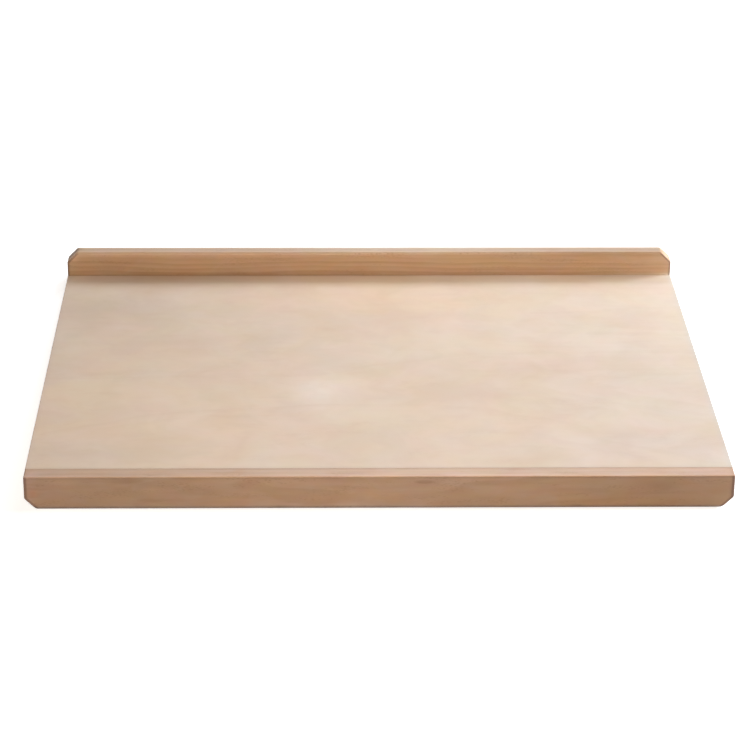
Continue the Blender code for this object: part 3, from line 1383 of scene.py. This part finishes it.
def build_rails() -> None:
    """Make both rails, each from its own length of wood."""
    Rail(
        Side.FRONT,
        RailBeech(ground=(0.505, 0.325, 0.218)),
        heart=(0.0, 0.161, 0.010),
        run_out=(0.0, 0.006, 0.009),
        free_edge_shade=(0.71, 0.79, 0.93),
        beneath_arris_shade=(0.8, 0.8, 0.81),
        spots=(
            # painted light: a pool of light on the middle of the rail
            Spot((0.02, -0.245, -0.005), (0.14, 0.05, 0.05), (1.09, 1.12, 1.19)),
            # painted shade towards the right end of the face
            Spot((0.29, -0.252, -0.008), (0.13, 0.007, 0.04), (0.8, 0.745, 0.67)),
            # painted light: the top bluer towards the right end, as cooler light falls on it from above
            Spot((0.3, -0.241, 0.0065), (0.15, 0.012, 0.005), (1.02, 1.06, 1.2)),
            # painted shade towards the left end of the face
            Spot((-0.28, -0.25, -0.008), (0.1, 0.012, 0.04), (0.86, 0.89, 0.97)),
            # painted shade on the right end's outline
            Spot((0.323, -0.25, -0.01), (0.0024, 0.02, 0.013), (0.78, 0.74, 0.73)),
            Spot((-0.319, -0.25, -0.004), (0.007, 0.02, 0.02), (1.08, 1.03, 1.15)),
            Spot((-0.316, -0.25, -0.01), (0.004, 0.02, 0.004), (1.06, 0.94, 0.88)),
            on_front(-0.29, 0.002, 0.016, 0.008, (1.14, 1.11, 1.07)),
            Spot((0.041, -0.25, 0.001), (0.01, 0.008, 0.0022), (0.74, 0.68, 0.64), lift=0.004),
            on_front(-0.232, 0.002, 0.016, 0.003, (0.92, 0.91, 0.9), 0.002),
            on_front(-0.165, -0.008, 0.022, 0.004, (0.94, 0.93, 0.92), 0.002),
            on_front(-0.208, -0.006, 0.012, 0.0035, (1.05, 1.055, 1.06)),
            on_front(0.261, -0.004, 0.02, 0.007, (0.93, 0.92, 0.92), 0.002),
            on_front(0.2, -0.02, 0.055, 0.004, (1.1, 1.07, 0.98)),
            on_front(0.275, -0.019, 0.035, 0.004, (0.99, 0.97, 0.87)),
            on_front(-0.03, -0.017, 0.13, 0.0065, (1.06, 1.065, 1.07)),
            on_front(-0.08, -0.0225, 0.2, 0.0026, (1.06, 1.13, 1.26)),
            Spot((0.181, -0.25, -0.024), (0.006, 0.004, 0.002), (0.78, 0.74, 0.72)),
            Spot((-0.09, -0.25, -0.0245), (0.008, 0.004, 0.0018), (0.82, 0.79, 0.77)),
        ),
    ).build()
    Rail(
        Side.BACK,
        # its ground is lighter than the front rail's, partly painted light: the bounce from the panel that
        # brightens its face
        RailBeech(ground=(0.615, 0.405, 0.265), ring=(0.89, 0.85, 0.82), ring_width=0.0042),
        heart=(0.4, -0.330, 0.120),
        run_out=(0.0, -0.005, 0.007),
        free_edge_shade=(0.8, 0.825, 0.86),
        beneath_arris_shade=(1.0, 1.0, 1.0),
        outline_shade_reach=0.0026,
        free_reach=0.0012,
        spots=(
            # painted shade towards the left end, and painted light from the panel's bounce in the middle and
            # at the right
            Spot((-0.29, 0.235, 0.02), (0.12, 0.05, 0.05), (0.9, 0.89, 0.88)),
            Spot((0.06, 0.235, 0.02), (0.11, 0.05, 0.05), (1.05, 1.08, 1.1)),
            Spot((0.29, 0.2325, 0.018), (0.06, 0.02, 0.03), (1.04, 1.03, 1.03)),
            # painted shade on the top towards the right end
            Spot((0.31, 0.238, 0.033), (0.17, 0.016, 0.006), (0.76, 0.725, 0.665)),
            # painted highlight along the top's far edge
            Spot((-0.05, 0.246, 0.033), (0.4, 0.0022, 0.004), (1.26, 1.42, 1.6)),
            # painted shade on the left cut corner, with painted light on the face just in front of it
            Spot((-0.322, 0.243, 0.025), (0.0062, 0.0036, 0.0062), (0.4, 0.35, 0.33)),
            Spot((-0.317, 0.243, 0.03), (0.0062, 0.0036, 0.0062), (0.4, 0.35, 0.33)),
            Spot((-0.3195, 0.235, 0.0275), (0.006, 0.0045, 0.006), (1.35, 1.37, 1.4)),
            # painted light on the right cut corner
            Spot((0.321, 0.242, 0.028), (0.006, 0.014, 0.01), (1.03, 1.06, 1.2)),
            Spot((-0.2, 0.2325, 0.018), (0.045, 0.02, 0.012), (1.06, 1.05, 1.04)),
            Spot((-0.29, 0.241, 0.033), (0.12, 0.03, 0.006), (1.08, 1.08, 1.07)),
            # painted highlight on the face just below the top's round
            Spot((-0.15, 0.2325, 0.0302), (0.27, 0.004, 0.0026), (1.16, 1.2, 1.32)),
            # painted shade along the foot of the face, where it meets the panel
            Spot((-0.1, 0.2325, 0.0065), (0.45, 0.02, 0.0058), (0.8, 0.78, 0.77)),
            Spot((-0.1, 0.2325, 0.0065), (0.35, 0.02, 0.0014), (0.88, 0.86, 0.84)),
            # painted light at the right end of the foot and on the corner there
            Spot((0.305, 0.2325, 0.0065), (0.045, 0.004, 0.003), (1.12, 1.33, 1.55)),
            Spot((0.325, 0.2325, 0.0065), (0.015, 0.004, 0.0032), (1.35, 1.55, 1.8)),
        ),
    ).build()


def main() -> None:
    """Set up the studio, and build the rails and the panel."""
    logging.basicConfig(level=logging.INFO, format="%(name)s: %(message)s")
    Studio().build()
    build_rails()
    Panel(
        top_spots=(
            on_work_surface(-0.034, -0.045, 0.045, 0.032, (1.05, 1.05, 1.04)),
            on_work_surface(-0.2, -0.16, 0.15, 0.12, (1.08, 1.07, 1.05)),
            on_work_surface(0.14, -0.03, 0.08, 0.07, (0.96, 0.93, 0.92)),
            on_work_surface(0.29, -0.06, 0.12, 0.23, (0.89, 0.925, 0.99)),
            on_work_surface(0.165, -0.19, 0.07, 0.035, (0.975, 0.99, 1.04)),
            on_work_surface(-0.27, -0.2, 0.08, 0.035, (0.93, 0.975, 1.02)),
            on_work_surface(-0.11, -0.2, 0.08, 0.03, (0.99, 1.0, 1.03)),
            on_work_surface(-0.295, 0.135, 0.07, 0.06, (0.92, 0.92, 0.93)),
            on_work_surface(-0.056, -0.07, 0.024, 0.034, (1.095, 1.18, 1.38)),
            on_work_surface(0.3, -0.205, 0.08, 0.02, (0.985, 1.0, 1.05)),
            on_work_surface(0.079, 0.064, 0.05, 0.035, (1.0, 1.015, 1.04)),
            on_work_surface(0.3, -0.226, 0.04, 0.012, (0.97, 1.015, 1.03)),
            # painted highlight at the right back corner
            on_work_surface(0.323, 0.23, 0.018, 0.013, (1.18, 1.26, 1.32)),
            on_work_surface(-0.054, 0.035, 0.028, 0.045, (1.02, 1.04, 1.05)),
            on_work_surface(0.247, -0.166, 0.045, 0.016, (0.97, 0.965, 0.96)),
            on_work_surface(0.325, -0.02, 0.004, 0.4, (0.93, 1.0, 1.09)),
            on_work_surface(-0.325, -0.02, 0.003, 0.4, (0.93, 0.94, 0.99)),
            on_work_surface(0.0, -0.2325, 2.0, 0.0035, (0.91, 0.905, 0.9)),
            # painted shadow of the back rail, towards the left end
            on_work_surface(-0.23, 0.22, 0.09, 0.022, (0.8, 0.765, 0.75)),
            # painted shade along the back rail's foot
            on_work_surface(-0.1, 0.2325, 0.35, 0.0035, (0.86, 0.8, 0.76)),
            # painted light where the back rail's shadow thins out at the right
            on_work_surface(0.315, 0.207, 0.05, 0.014, (1.03, 1.08, 1.12)),
            # painted shadow of the back rail near the right end
            on_work_surface(0.27, 0.23, 0.055, 0.007, (0.87, 0.86, 0.89)),
            # painted light where the back rail's shadow stops at the left end
            on_work_surface(-0.318, 0.222, 0.016, 0.018, (1.12, 1.17, 1.19)),
            # painted light: a warm bounce on the middle of the back half
            on_work_surface(0.0, 0.165, 0.12, 0.06, (1.07, 1.01, 0.95)),
            # painted shadow of the back rail along its foot, deepest at the left
            on_work_surface(-0.2, 0.232, 0.26, 0.016, (0.88, 0.83, 0.8)),
            on_work_surface(0.096, -0.074, 0.05, 0.018, (0.985, 0.97, 0.955)),
            on_work_surface(0.262, -0.155, 0.022, 0.006, (0.99, 0.95, 0.95)),
        )
    ).build()


if __name__ == "__main__":
    main()
